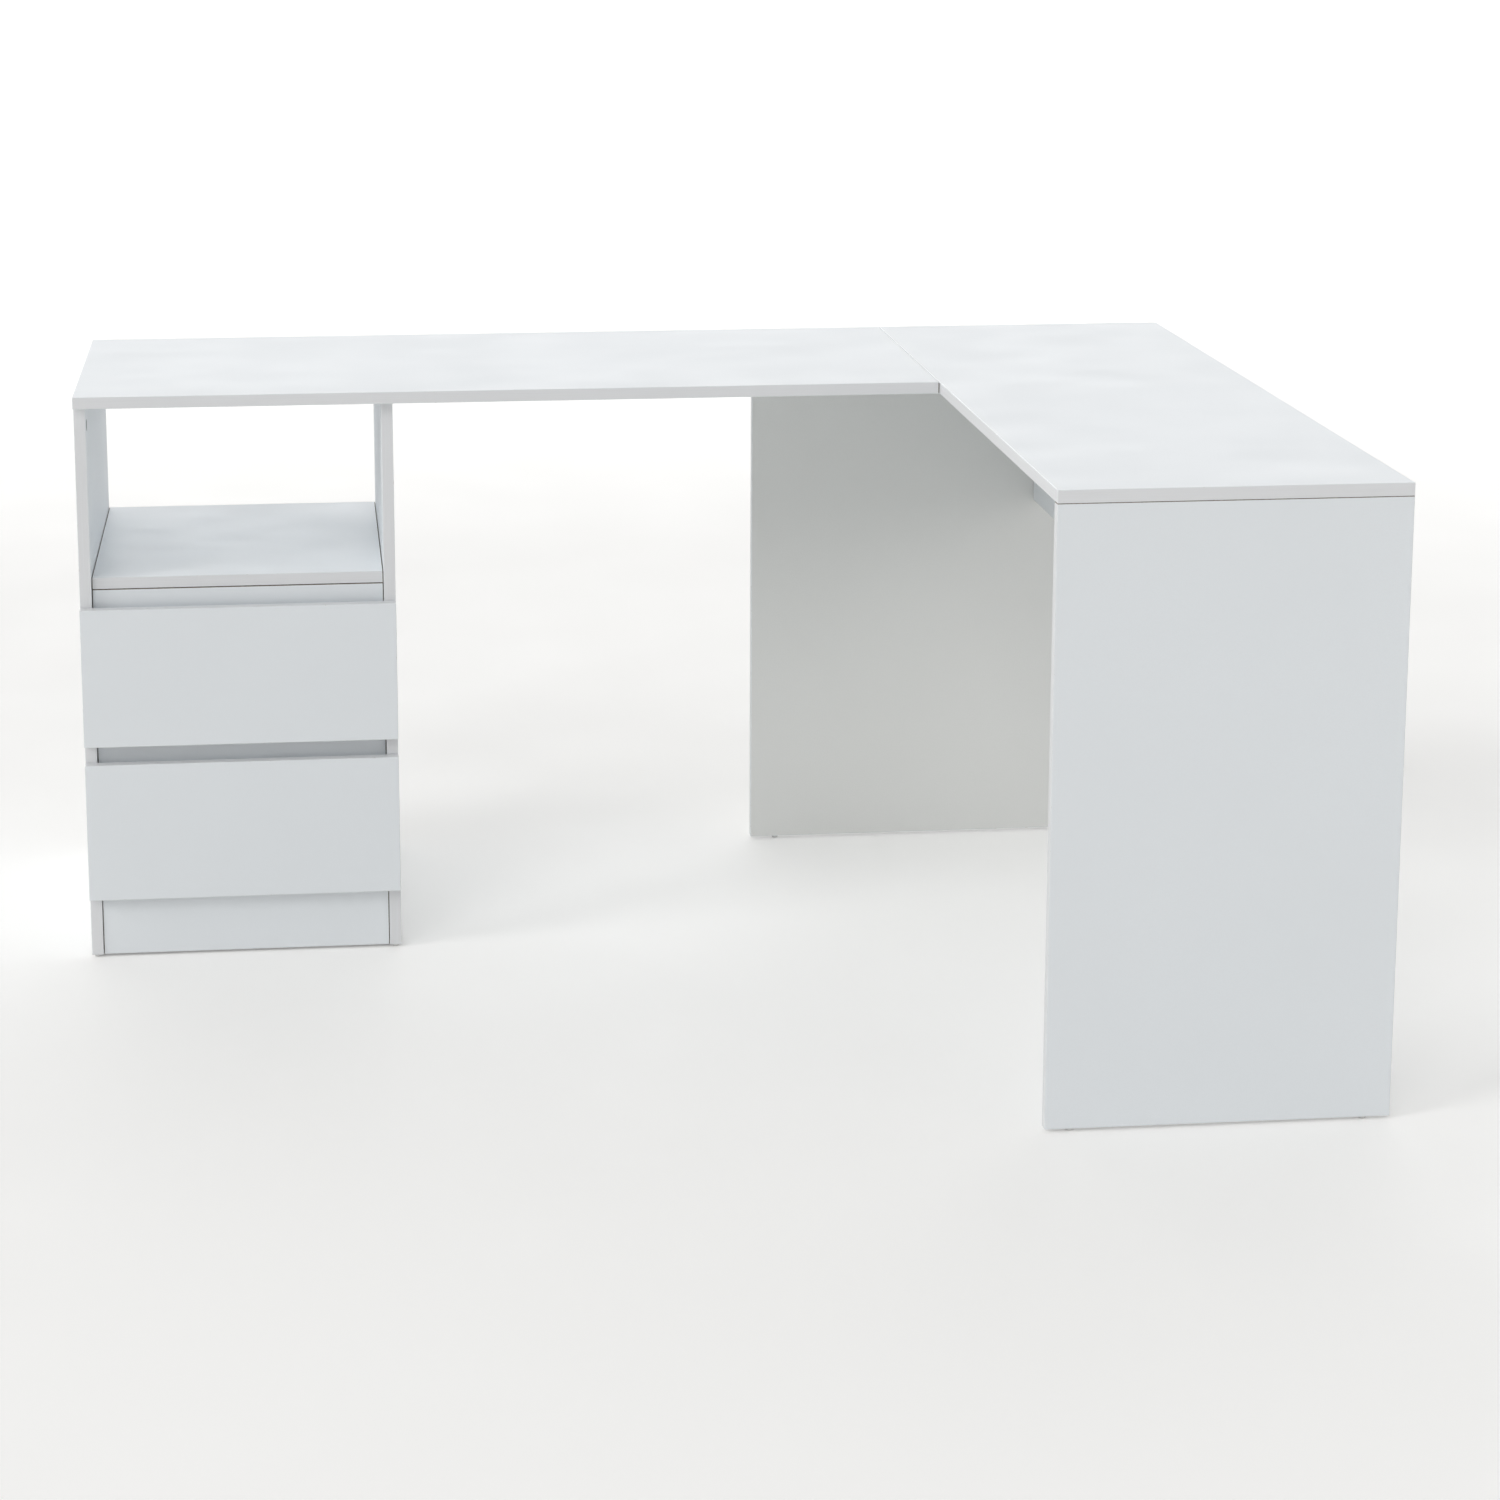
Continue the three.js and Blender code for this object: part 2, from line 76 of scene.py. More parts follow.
# Runners and rollers
STEEL = 1.25 * MM  # thickness of the runners
OUTER_BEND = 1.5 * MM  # radius outside a fold
INNER_BEND = 0.35 * MM
CUT_EDGE = 0.25 * MM  # rounding of a cut edge
CHANNEL_WIDTH = 11 * MM
RUNNER_SPACE = 12.5 * MM  # between the carcass and the drawer's side
DRAWER_SIDE = 12 * MM
FLANGE_START = 2 * MM  # from the carcass to the drawer runner's upper flange
WINDOW = 24 * MM  # length of the opening over the front roller
CHANNEL_SCREWS = (53, 213, 373)  # millimetres from the runner's front end, as in the next four
CHANNEL_HOLES = (85, 245, 341)
CHANNEL_SLOTS = (133, 293)
FLANGE_SCREWS = (32, 192, 352)
WEB_SLOTS = (64, 224)
HOLE_STEPS = 20
HOLE_REACH = 3 * MM  # of a punched hole's cutter, to each side
PIN_RADIUS = 2 * MM
PIN_REACH = 5.6 * MM  # from the roller's middle into the steel that holds the pin
PIN_OVERHANG = 1.2 * MM  # past the roller's face
PIN_HEAD = 0.8 * MM

# Camera
CAMERA_PLACE = (-0.461, -4.307, 1.485)
CAMERA_YAW = 6.30  # degrees to the right of +Y
CAMERA_PITCH = -11.51
CAMERA_LENS = 85.03
CAMERA_SHIFT = (0.04, -0.16)

# Light: a white studio, brightest behind the desk, with two soft lamps on the left
EVEN_LIGHT = 0.28  # radiance from all round
PANELS = (  # soft panels: where each stands from the desk, its radiance, and how narrow it is
    ((0, 1, 0.15), 1.5, 3),
    ((0.75, 0.66, 0.1), 0.45, 8),
    ((-0.75, 0.66, 0.1), 0.45, 8),
    ((0.75, -0.66, 0.1), 1.05, 8),
    ((-1, 0, 0.15), 0.29, 3),
)
LAMPS = (  # where each stands from the desk, its strength, and how many degrees it spreads over
    ("side_lamp", (-0.52, -0.20, 0.33), 0.74, 22),
    ("front_lamp", (-0.385, -0.674, 0.572), 0.50, 26),
)
BACKDROP_LIGHT = 1.0  # what the camera sees past the floor
FLOOR_SIZE = 400
FLOOR_DROP = 0.2 * MM  # below the glides, so that the two faces don't coincide
FLOOR_GLOW = (0.16, 0.7)  # added to what the camera sees of it, beside the desk and far away
FLOOR_FADE = (2.5, 9.0)  # metres from the desk, over which the glow grows


# Helpers for meshes


def link(name, bm, materials):
    """A new object holding the mesh, which is closed, with its faces pointing out."""
    bmesh.ops.recalc_face_normals(bm, faces=bm.faces)
    mesh = bpy.data.meshes.new(name)
    bm.to_mesh(mesh)
    bm.free()
    for material in materials:
        mesh.materials.append(material)
    made = bpy.data.objects.new(name, mesh)
    bpy.context.scene.collection.objects.link(made)
    return made


def settle(piece):
    """Applies the piece's modifiers to its mesh."""
    graph = bpy.context.evaluated_depsgraph_get()
    mesh = bpy.data.meshes.new_from_object(piece.evaluated_get(graph), depsgraph=graph)
    piece.modifiers.clear()
    rough = piece.data
    piece.data = mesh
    bpy.data.meshes.remove(rough)
    return piece


def smooth(piece, angle=40):
    """Smooth shading inside the angle, weighted so that flat faces stay flat."""
    mesh = piece.data
    mesh.polygons.foreach_set("use_smooth", [True] * len(mesh.polygons))
    mesh.set_sharp_from_angle(angle=math.radians(angle))
    weighted = piece.modifiers.new("flat_faces", "WEIGHTED_NORMAL")
    weighted.keep_sharp = True
    weighted.weight = 100
    return settle(piece)


def cut(piece, cutter, material):
    """Takes the cutter's mesh out of the piece. The new faces show the material."""
    tool = link("cutter", cutter, [material])
    boolean = piece.modifiers.new("cut", "BOOLEAN")
    boolean.operation = "DIFFERENCE"
    boolean.solver = "EXACT"
    boolean.material_mode = "TRANSFER"
    boolean.object = tool
    settle(piece)
    waste = tool.data
    bpy.data.objects.remove(tool)
    bpy.data.meshes.remove(waste)


def box_mesh(low, high):
    bm = bmesh.new()
    bmesh.ops.create_cube(bm, size=1)
    for vertex in bm.verts:
        vertex.co = Vector(high[i] if vertex.co[i] > 0 else low[i] for i in range(3))
    return bm


def turned(place, towards):
    """The matrix that puts a shape made round the local +Z axis at the place, facing that way."""
    return Matrix.Translation(place) @ Vector(towards).to_track_quat("Z", "Y").to_matrix().to_4x4()


def lathe(outline, steps=40):
    """A closed solid round the Z axis, from (radius, height) points that start and end on it."""
    bm = bmesh.new()
    rings = []
    for radius, height in outline:
        if radius == 0:
            rings.append([bm.verts.new((0, 0, height))])
            continue
        angles = (2 * math.pi * i / steps for i in range(steps))
        rings.append([bm.verts.new((radius * math.cos(a), radius * math.sin(a), height)) for a in angles])
    for lower, upper in zip(rings, rings[1:]):
        for i in range(steps):
            corners = [lower[i % len(lower)], lower[(i + 1) % len(lower)]]
            corners += [upper[(i + 1) % len(upper)], upper[i % len(upper)]]
            bm.faces.new(dict.fromkeys(corners))
    return bm


def hollow_lathe(outline, steps=48):
    """A closed ring round the Z axis, from (radius, height) points that close on themselves."""
    bm = bmesh.new()
    angles = [2 * math.pi * i / steps for i in range(steps)]
    rings = [[bm.verts.new((r * math.cos(a), r * math.sin(a), h)) for a in angles] for r, h in outline]
    for one, two in zip(rings, rings[1:] + rings[:1]):
        for i in range(steps):
            j = (i + 1) % steps
            bm.faces.new((one[i], one[j], two[j], two[i]))
    return bm


def merge(parts):
    """One bmesh from several, which are freed."""
    whole = bmesh.new()
    for part in parts:
        mesh = bpy.data.meshes.new("part")
        part.to_mesh(mesh)
        part.free()
        whole.from_mesh(mesh)
        bpy.data.meshes.remove(mesh)
    return whole


def moved(bm, matrix):
    bmesh.ops.transform(bm, matrix=matrix, verts=bm.verts)
    return bm


def rounded(corners, steps=4):
    """An outline of (x, y, radius) corners as points, with an arc at each corner."""
    points = []
    for i, (x, y, radius) in enumerate(corners):
        here = Vector((x, y))
        before = (Vector(corners[i - 1][:2]) - here).normalized()
        after = (Vector(corners[(i + 1) % len(corners)][:2]) - here).normalized()
        half = before.angle(after) / 2
        centre = here + (before + after).normalized() * (radius / math.sin(half))
        start = here + before * (radius / math.tan(half)) - centre
        end = here + after * (radius / math.tan(half)) - centre
        for step in range(steps + 1):
            spoke = start.lerp(end, step / steps).normalized()
            points.append(centre + spoke * radius)
    return points


def prism(points, to_place, near, far):
    """A closed solid between two copies of an outline. to_place puts (x, y, depth) in the frame."""
    bm = bmesh.new()
    first = [bm.verts.new(to_place(x, y, near)) for x, y in points]
    second = [bm.verts.new(to_place(x, y, far)) for x, y in points]
    bm.faces.new(first)
    bm.faces.new(second)
    for i in range(len(points)):
        j = (i + 1) % len(points)
        bm.faces.new((first[i], first[j], second[j], second[i]))
    return bm


def stands_for(piece, node):
    """The piece stands in for the CAD node: it joins the node's body, and the node is hidden."""
    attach(piece, BODIES[node])
    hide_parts(node)


# Materials


class Surface:
    """One procedural material. Patterns are in metres, in the piece's own coordinates."""

    def __init__(self, name, roughness, **sockets):
        self.material = bpy.data.materials.new(name)
        self.material.use_nodes = True
        self.tree = self.material.node_tree
        self.shader = self.tree.nodes["Principled BSDF"]
        self.place = self.node("ShaderNodeTexCoord").outputs["Object"]
        self.normal = None
        self.shader.inputs["Roughness"].default_value = roughness
        for socket, value in sockets.items():
            self.shader.inputs[socket.replace("_", " ").title()].default_value = value

    def node(self, kind, **settings):
        made = self.tree.nodes.new(kind)
        for key, value in settings.items():
            setattr(made, key, value)
        return made

    def join(self, source, target):
        self.tree.links.new(source, target)

    def noise(self, size, detail=2.0, stretch=(1, 1, 1)):
        """Noise with features about that many metres across, longer where stretch is over 1."""
        mapping = self.node("ShaderNodeMapping")
        mapping.inputs["Scale"].default_value = [1 / (size * s) for s in stretch]
        self.join(self.place, mapping.inputs["Vector"])
        pattern = self.node("ShaderNodeTexNoise")
        pattern.inputs["Scale"].default_value = 1
        pattern.inputs["Detail"].default_value = detail
        self.join(mapping.outputs["Vector"], pattern.inputs["Vector"])
        return pattern.outputs["Fac"]

    def cells(self, size, stretch=(1, 1, 1)):
        """A random grey for each cell, about that many metres across."""
        mapping = self.node("ShaderNodeMapping")
        mapping.inputs["Scale"].default_value = [1 / (size * s) for s in stretch]
        self.join(self.place, mapping.inputs["Vector"])
        pattern = self.node("ShaderNodeTexVoronoi")
        pattern.inputs["Scale"].default_value = 1
        self.join(mapping.outputs["Vector"], pattern.inputs["Vector"])
        return pattern.outputs["Color"]

    def range(self, value, low, high, start=0.3, end=0.7):
        """The value, spread from start..end to low..high."""
        spread = self.node("ShaderNodeMapRange")
        for name, number in (("From Min", start), ("From Max", end), ("To Min", low), ("To Max", high)):
            spread.inputs[name].default_value = number
        self.join(value, spread.inputs["Value"])
        return spread.outputs["Result"]

    def mix(self, share, one, two, blend="MIX"):
        """A colour between two, each a colour or a socket."""
        mixer = self.node("ShaderNodeMix", data_type="RGBA", blend_type=blend)
        for index, value in ((0, share), (6, one), (7, two)):  # the node's factor and two colours
            if isinstance(value, bpy.types.NodeSocket):
                self.join(value, mixer.inputs[index])
            else:
                mixer.inputs[index].default_value = value if index == 0 else (*value, 1)
        return mixer.outputs[2]

    def bump(self, height, distance):
        """Adds relief that many metres high to what is there."""
        relief = self.node("ShaderNodeBump")
        relief.inputs["Strength"].default_value = 1
        relief.inputs["Distance"].default_value = distance
        self.join(height, relief.inputs["Height"])
        if self.normal:
            self.join(self.normal, relief.inputs["Normal"])
        self.normal = relief.outputs["Normal"]
        self.join(self.normal, self.shader.inputs["Normal"])

    def colour(self, socket):
        self.join(socket, self.shader.inputs["Base Color"])

    def roughness(self, socket):
        self.join(socket, self.shader.inputs["Roughness"])


def scaled(colour, by):
    return tuple(channel * by for channel in colour)


WHITE = (0.857, 0.893, 0.919)  # melamine: a slightly cool white
SHADED_CORNER_WHITE = (0.830, 0.838, 0.818)  # the corner panel: the melamine white made darker and warmer as painted shade, for the shade under the tops
BAND_WHITE = (0.815, 0.825, 0.842)
FOIL_WHITE = (0.820, 0.845, 0.862)


def melamine(name, white, speckling):
    """Paper-faced white with a faint cloudiness, fine pearl relief and a satin shine."""
    look = Surface(name, 0.42)
    clouds = look.range(look.noise(0.22, 3), 0, 1)
    speckle = look.range(look.noise(0.0011, 1), 0, 1, 0.35, 0.75)
    tint = look.mix(clouds, scaled(white, 0.985), scaled(white, 1.005))
    look.colour(look.mix(speckle, tint, scaled(white, 1 - speckling)))
    handled = look.noise(0.06, 4, (1.6, 1, 1))
    look.roughness(look.range(handled, 0.38, 0.47))
    look.bump(look.noise(0.09, 2), 0.00010)
    look.bump(look.noise(0.0009, 2), 0.000012)
    return look.material


def edge_band(axis):
    """Plastic band drawn along the board's length, with faint trim lines that way."""
    look = Surface(f"edge_band_{'xyz'[axis]}", 0.36)
    along = [1.0, 1.0, 1.0]
    along[axis] = 90.0
    lines = look.noise(0.0012, 2, along)
    cloud = look.range(look.noise(0.15, 2), 0, 1)
    tint = look.mix(cloud, scaled(BAND_WHITE, 0.98), BAND_WHITE)
    dull = look.mix(1.0, tint, (0.975, 0.975, 0.97), "MULTIPLY")
    look.colour(look.mix(look.range(lines, 0, 1), tint, dull))
    look.roughness(look.range(lines, 0.31, 0.42))
    look.bump(lines, 0.000018)
    return look.material


def arris():
    """The trimmed corner of the band: brighter and shinier, with small dull nicks."""
    look = Surface("trimmed_arris", 0.28)
    nicks = look.range(look.noise(0.006, 5), 0, 1, 0.62, 0.74)
    look.colour(look.mix(nicks, (0.86, 0.885, 0.90), (0.62, 0.61, 0.59)))
    look.roughness(look.range(nicks, 0.26, 0.55, 0, 1))
    look.bump(look.noise(0.002, 3), 0.00003)
    return look.material


def raw_board_and_joint_shade():
    """Raw particle board, as in bores, in grooves and on ends that meet a board: its own chips, but darker
    than bare board as painted shade in those crevices.
    """
    look = Surface("raw_chipboard_joint_shade", 0.85)
    chips = look.cells(0.0014, (1, 2.2, 1))
    grey = look.range(chips, 0, 1, 0.0, 1.0)
    # Both greys are darker than bare chipboard: painted shade in the crevices
    look.colour(look.mix(grey, (0.14, 0.12, 0.10), (0.33, 0.285, 0.23)))
    look.roughness(look.range(look.noise(0.002, 2), 0.75, 0.95))
    look.bump(chips, 0.0002)
    return look.material


def foil():
    """Foil-wrapped drawer board, a little warmer and flatter than melamine."""
    look = Surface("drawer_foil", 0.46)
    clouds = look.range(look.noise(0.12, 3), 0, 1)
    ghost = look.range(look.noise(0.004, 3, (1, 3, 1)), 0, 1)
    tint = look.mix(clouds, scaled(FOIL_WHITE, 0.98), FOIL_WHITE)
    dull = look.mix(1.0, tint, (0.975, 0.975, 0.97), "MULTIPLY")
    look.colour(look.mix(ghost, tint, dull))
    look.roughness(look.range(look.noise(0.05, 3), 0.42, 0.52))
    look.bump(look.noise(0.004, 3, (1, 3, 1)), 0.00004)
    return look.material


def hardboard():
    """Lacquered hardboard: the pressed fibres show through the white."""
    look = Surface("lacquered_hardboard", 0.55)
    fibres = look.noise(0.0022, 5, (1, 1, 2.5))
    clouds = look.range(look.noise(0.10, 3), 0, 1)
    tint = look.mix(clouds, (0.735, 0.735, 0.715), (0.775, 0.778, 0.765))
    fibre_tint = look.mix(1.0, tint, (0.93, 0.92, 0.89), "MULTIPLY")
    look.colour(look.mix(look.range(fibres, 0, 1, 0.5, 0.75), tint, fibre_tint))
    look.roughness(look.range(fibres, 0.48, 0.66))
    look.bump(fibres, 0.00006)
    return look.material


def epoxy_steel():
    """Off-white powder coat with its orange peel, thin and rubbed along the running edges."""
    look = Surface("epoxy_coated_steel", 0.34)
    peel = look.noise(0.0016, 2)
    clouds = look.range(look.noise(0.03, 3), 0, 1)
    tint = look.mix(clouds, (0.74, 0.74, 0.715), (0.80, 0.80, 0.78))
    rubs = look.range(look.noise(0.003, 4, (1, 14, 1)), 0, 1, 0.66, 0.78)
    look.colour(look.mix(rubs, tint, (0.50, 0.50, 0.49)))
    look.roughness(look.range(peel, 0.28, 0.42))
    look.bump(peel, 0.00004)
    return look.material


def plated_steel():
    """Zinc-plated steel, with rolling lines and cloudy passivation."""
    look = Surface("zinc_plated_steel", 0.32, metallic=1.0)
    clouds = look.range(look.noise(0.008, 4), 0, 1)
    look.colour(look.mix(clouds, (0.52, 0.53, 0.55), (0.66, 0.66, 0.64)))
    lines = look.noise(0.0005, 2, (30, 1, 1))
    look.roughness(look.range(lines, 0.24, 0.42))
    look.bump(lines, 0.00001)
    return look.material


def cast_zinc():
    """Dull die-cast zinc with a sandy skin."""
    look = Surface("die_cast_zinc", 0.5, metallic=0.9)
    skin = look.noise(0.0007, 4)
    look.colour(look.mix(look.range(skin, 0, 1), (0.20, 0.205, 0.21), (0.33, 0.335, 0.34)))
    look.roughness(look.range(skin, 0.42, 0.62))
    look.bump(skin, 0.00006)
    return look.material


def nylon():
    """Moulded nylon, slightly see-through at its thin edges."""
    look = Surface("moulded_nylon", 0.4, subsurface_weight=0.15)
    look.shader.inputs["Subsurface Radius"].default_value = (0.002, 0.0018, 0.0015)
    look.shader.inputs["Subsurface Scale"].default_value = 1.0
    flow = look.range(look.noise(0.004, 3), 0, 1)
    look.colour(look.mix(flow, (0.80, 0.79, 0.75), (0.86, 0.855, 0.82)))
    look.roughness(look.range(look.noise(0.0012, 2), 0.34, 0.48))
    look.bump(look.noise(0.0008, 2), 0.00001)
    return look.material


def glide_plastic():
    """Moulded polyethylene, scuffed where it meets the floor."""
    look = Surface("moulded_polyethylene", 0.42)
    scuffs = look.range(look.noise(0.0015, 5), 0, 1, 0.5, 0.72)
    look.colour(look.mix(scuffs, (0.78, 0.785, 0.775), (0.60, 0.595, 0.57)))
    look.roughness(look.range(scuffs, 0.36, 0.6, 0, 1))
    look.bump(look.noise(0.001, 3), 0.00003)
    return look.material


FACE = melamine("melamine_face", WHITE, 0.018)
# The corner panel's melamine: darker and warmer as painted shade, with heavier speckling
SHADED_CORNER_FACE = melamine("melamine_painted_shade", SHADED_CORNER_WHITE, 0.045)
ARRISES = arris()
RAW_AND_JOINT_SHADE = raw_board_and_joint_shade()
BANDS = [edge_band(axis) for axis in range(3)]
FOIL = foil()
HARDBOARD = hardboard()
EPOXY = epoxy_steel()
PLATED = plated_steel()
ZINC = cast_zinc()
NYLON = nylon()
GLIDE = glide_plastic()


# Boards

CAM_BOARDS = {  # what the names of a board's cam locks start with
    "pedestal_left_side": "pedestal_left_cam",
    "pedestal_right_side": "pedestal_right_cam",
    "end_panel": "end_panel_cam",
    "corner_panel": "corner_panel_cam",
    "return_stretcher": "stretcher_cam",
}
CAMS = [node for node, slot in SLOTS.items() if slot == "cam_zinc"]
GLIDES = [node for node, slot in SLOTS.items() if slot == "glide_plastic"]
BOARDS = [node for node, slot in SLOTS.items() if slot in ("melamine", "drawer_board")]
TOPS = ("main_top", "return_top")

# A banded board's materials: its face, a band for each axis, the arrises and the raw ends, which are dark
# with painted joint shade
FIRST_BAND = 1
ARRIS_INDEX = 4
RAW_AND_SHADE_INDEX = 5

FLAT = 0.999  # the least part of a face's normal along an axis, if the face looks straight that way
FACING = 0.2  # the same, if the face looks partly that way


def thin_axis(node):
    low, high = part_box(node)
    return min(range(3), key=lambda axis: high[axis] - low[axis])


def shared_area(node, other, axis):
    """The area in which two nodes' boxes overlap, seen along the axis."""
    low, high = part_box(node)
    other_low, other_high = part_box(other)
    across = [i for i in range(3) if i != axis]
    return math.prod(max(0, min(high[i], other_high[i]) - max(low[i], other_low[i])) for i in across)


def butted_sides(node):
    """The ways in which the board's edges look straight into another board. Those edges have no band."""
    low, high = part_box(node)
    found = []
    for axis in range(3):
        if axis == thin_axis(node):
            continue
        half = shared_area(node, node, axis) / 2
        for other in BOARDS:
            other_low, other_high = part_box(other)
            for way, gap in ((-1, low[axis] - other_high[axis]), (1, other_low[axis] - high[axis])):
                if -JOINT_OVERLAP < gap < JOINT_GAP and shared_area(node, other, axis) > half:
                    found.append((axis, way))
    return found


def banded_board(node, face, cutters):
    """A board with rounded arrises, an edge band round it and the fine line where the two meet."""
    thin = thin_axis(node)
    bm = box_mesh(*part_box(node))
    bmesh.ops.bevel(bm, geom=bm.edges[:], offset=ARRIS, segments=ARRIS_STEPS, profile=0.5, affect="EDGES")
    bm.normal_update()
    broad = []
    for side in bm.faces:
        flat = max(range(3), key=lambda axis: abs(side.normal[axis]))
        if abs(side.normal[flat]) < FLAT:
            side.material_index = ARRIS_INDEX
        elif flat == thin:
            broad.append(side)
        else:
            length = 3 - flat - thin  # the third axis
            side.material_index = FIRST_BAND + length
    seam = ((BAND_THICKNESS - ARRIS, 0), (SEAM_WIDTH / 2, -SEAM_DEPTH), (SEAM_WIDTH / 2, SEAM_DEPTH))
    for side in broad:
        for inward, sunk in seam:
            bmesh.ops.inset_region(bm, faces=[side], thickness=inward, depth=sunk, use_even_offset=True)
    # Edges that butt into another board take the raw material, darkened as painted shade in the joint
    for axis, way in butted_sides(node):
        for side in bm.faces:
            shows = node in TOPS and abs(side.normal[thin]) > FACING  # no raw end, with its painted joint shade, between the tops
            if side.normal[axis] * way > FACING and side.material_index >= FIRST_BAND and not shows:
                side.material_index = RAW_AND_SHADE_INDEX
    piece = link(f"{node}_detail", bm, [face, *BANDS, ARRISES, RAW_AND_JOINT_SHADE])
    for cutter in cutters:
        cut(piece, cutter, RAW_AND_JOINT_SHADE)
    stands_for(smooth(piece), node)


def thin_board(node):
    """A sawn sheet of hardboard with its edges just broken."""
    bm = box_mesh(*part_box(node))
    bmesh.ops.bevel(bm, geom=bm.edges[:], offset=THIN_ARRIS, segments=2, profile=0.5, affect="EDGES")
    stands_for(smooth(link(f"{node}_detail", bm, [HARDBOARD])), node)


def cam_opening(node):
    """The way that a cam lock's slotted face looks: out of the board that holds it."""
    board = next(name for name, cams in CAM_BOARDS.items() if node.startswith(cams))
    low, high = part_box(node)
    board_low, board_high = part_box(board)
    axis = thin_axis(node)
    way = Vector((0, 0, 0))
    way[axis] = 1 if abs(high[axis] - board_high[axis]) < abs(low[axis] - board_low[axis]) else -1
    return way


def cam_bore(node):
    """The cutter for a cam lock's bore: the lock's own box, a little wider, open at its outer face."""
    low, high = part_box(node)
    size = high - low
    radius = size.z / 2 + BORE_GAP
    depth = size[thin_axis(node)]
    outline = [(0, -depth / 2), (radius, -depth / 2), (radius, depth), (0, depth)]
    return moved(lathe(outline), turned((low + high) / 2, cam_opening(node)))


def groove(thin_node, board):
    """The cutter for the groove that holds a thin board: in the pedestal's sides, or in a drawer."""
    low, high = (corner.copy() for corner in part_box(thin_node))
    if thin_node == "pedestal_back":
        reach = Vector((GROOVE_END_GAP, GROOVE_SLACK, GROOVE_END_GAP))
        low.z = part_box(board)[0].z
    else:
        reach = Vector((GROOVE_END_GAP, GROOVE_END_GAP, GROOVE_SLACK))
        high.y += GROOVE_RUN_OUT
    return box_mesh(low - reach, high + reach)


def bores_and_grooves(node):
    """The cutters for a board."""
    cutters = []
    if node in CAM_BOARDS:
        cutters += [cam_bore(cam) for cam in CAMS if cam.startswith(CAM_BOARDS[node])]
    if node in ("pedestal_left_side", "pedestal_right_side"):
        cutters.append(groove("pedestal_back", node))
    for drawer in DRAWERS:
        if node in (f"{drawer}_front", f"{drawer}_left_side", f"{drawer}_right_side"):
            cutters.append(groove(f"{drawer}_bottom", node))
    return cutters


def boards():
    for node, slot in SLOTS.items():
        if slot == "melamine":
            # the corner panel takes the darker, warmer copy of the melamine: painted shade
            face = SHADED_CORNER_FACE if node == "corner_panel" else FACE
            banded_board(node, face, bores_and_grooves(node))
        elif slot == "drawer_board":
            banded_board(node, FOIL, bores_and_grooves(node))
        elif slot == "hardboard":
            thin_board(node)


# Cam locks, glides, screws and plates


def cross_cutter(length, width, depth, taper):
    """The two arms of a cross recess that narrows downwards from the plane z = 0, at unlike depths."""
    arms = []
    for turn, floor_depth in ((0, depth), (math.pi / 2, 0.97 * depth)):
        arm = box_mesh((-length / 2, -width / 2, -floor_depth), (length / 2, width / 2, depth))
        for vertex in arm.verts:
            if vertex.co.z < 0:
                vertex.co.x *= taper
                vertex.co.y *= taper
        arms.append(moved(arm, Matrix.Rotation(turn, 4, "Z")))
    return arms


def cam_locks():
    """Die-cast discs: a raised rim round a sunk face, with a cross slot."""
    for node in CAMS:
        low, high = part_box(node)
        size = high - low
        depth = min(size)
        radius = size.z / 2
        chamfer = 0.5 * MM
        sunk = 0.5 * MM
        outline = [
            (0, -depth),
            (radius - chamfer, -depth),
            (radius, chamfer - depth),
            (radius, -chamfer),
            (radius - chamfer, 0),
            (radius - 1.3 * MM, 0),
            (radius - 1.6 * MM, -sunk),
            (0, -sunk),
        ]
        lock = link(f"{node}_detail", lathe(outline), [ZINC])
        for arm in cross_cutter(9 * MM, 2 * MM, 2.6 * MM, 0.8):
            cut(lock, arm, ZINC)
        way = cam_opening(node)
        face = (low + high) / 2 + way * (depth / 2)
        spin = Matrix.Rotation(math.radians(CAM_TURN), 4, "Z")
        lock.data.transform(turned(face, way) @ spin)
        stands_for(smooth(lock), node)


def glides():
    """Tapered plastic buttons, each with the sunk head of its nail."""
    for node in GLIDES:
        low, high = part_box(node)
        top = high.z - low.z
        radius = (high.x - low.x) / 2
        outline = [
            (0, 0.5 * MM),
            (1.5 * MM, 0.6 * MM),
            (1.7 * MM, 1.0 * MM),
            (2.0 * MM, 1.0 * MM),
            (2.2 * MM, 0.15 * MM),
            (2.6 * MM, 0),
            (radius - 1.4 * MM, 0),
            (radius - 0.9 * MM, 0.2 * MM),
            (radius - 0.2 * MM, top - 0.7 * MM),
            (radius, top - 0.5 * MM),
            (radius, top),
            (0, top),
        ]
        bm = lathe(outline)
        for side in bm.faces:
            middle = side.calc_center_median()
            if middle.z < 0.9 * MM and middle.xy.length < 1.6 * MM:
                side.material_index = 1
        centre = (low + high) / 2
        moved(bm, Matrix.Translation((centre.x, centre.y, low.z)))
        stands_for(smooth(link(f"{node}_detail", bm, [GLIDE, PLATED])), node)


